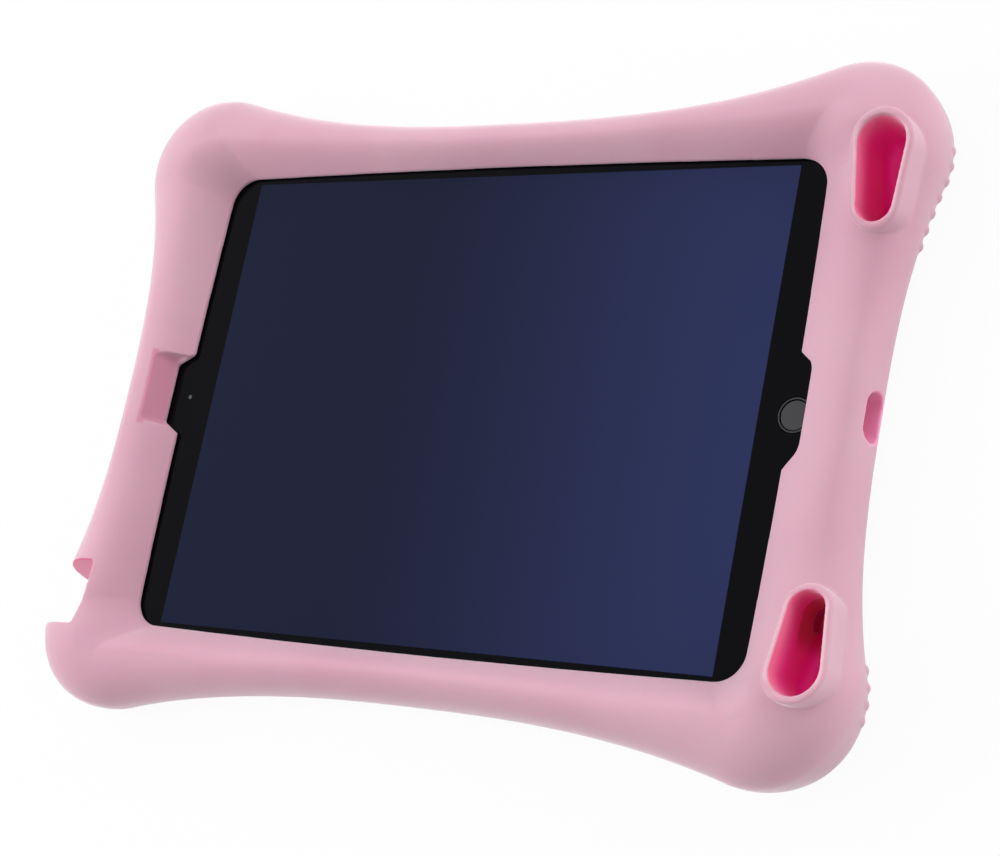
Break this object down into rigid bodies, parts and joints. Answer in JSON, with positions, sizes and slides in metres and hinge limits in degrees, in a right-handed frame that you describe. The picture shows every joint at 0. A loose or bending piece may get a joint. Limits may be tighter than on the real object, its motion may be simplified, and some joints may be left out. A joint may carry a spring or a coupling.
{
  "type": "kids tablet case",
  "caption": "Soft moulded silicone bumper case with bulbous corners, screen window, sound horns and grip ribs, fitted round a tablet with a home button and side keys.",
  "frame": {"origin": "middle of the case's flat back, on the surface that it lies on", "axes": "+X along the tablet towards the home button, +Y across it towards the volume keys, +Z out of the screen"},
  "size_m": [0.299, 0.2172, 0.0302],
  "materials": {
    "silicone": "soft satin silicone, pale pink",
    "anodised_aluminium": "fine blasted and anodised, grey",
    "cover_glass": "polished glass over a black border",
    "display": "dark blue display, switched off",
    "button_plastic": "dark grey, satin",
    "steel_trim": "fine brushed",
    "dark_plastic": "matt black",
    "cell_foil": "black foil wrap",
    "circuit_board": "green board with shield cans"
  },
  "bodies": {
    "case_and_tablet": {"silicone_case": "silicone", "tablet_housing": "anodised_aluminium", "cover_glass": "cover_glass", "display_panel": "display", "home_button_ring": "steel_trim", "home_button_switch": "circuit_board", "front_camera": "dark_plastic", "rear_camera": "dark_plastic", "rear_camera_lens": "cover_glass", "rear_camera_trim": "steel_trim", "charging_socket": "steel_trim", "headphone_socket": "dark_plastic", "upper_speaker": "dark_plastic", "lower_speaker": "dark_plastic", "left_battery": "cell_foil", "right_battery": "cell_foil", "logic_board": "circuit_board"},
    "home_button_body": {"home_button": "button_plastic"},
    "power_button_body": {"power_button": "anodised_aluminium"},
    "volume_up_body": {"volume_up_button": "anodised_aluminium"},
    "volume_down_body": {"volume_down_button": "anodised_aluminium"}
  },
  "joints": [
    {"name": "home_button_press", "type": "slide", "parent": "case_and_tablet", "child": "home_button_body", "axis": [0, 0, -1], "range_m": [0, 0.0003], "stiffness_N_per_m": 1500},
    {"name": "power_button_press", "type": "slide", "parent": "case_and_tablet", "child": "power_button_body", "axis": [1, 0, 0], "range_m": [0, 0.0003], "stiffness_N_per_m": 1500},
    {"name": "volume_up_press", "type": "slide", "parent": "case_and_tablet", "child": "volume_up_body", "axis": [0, -1, 0], "range_m": [0, 0.0003], "stiffness_N_per_m": 1500},
    {"name": "volume_down_press", "type": "slide", "parent": "case_and_tablet", "child": "volume_down_body", "axis": [0, -1, 0], "range_m": [0, 0.0003], "stiffness_N_per_m": 1500}
  ]
}
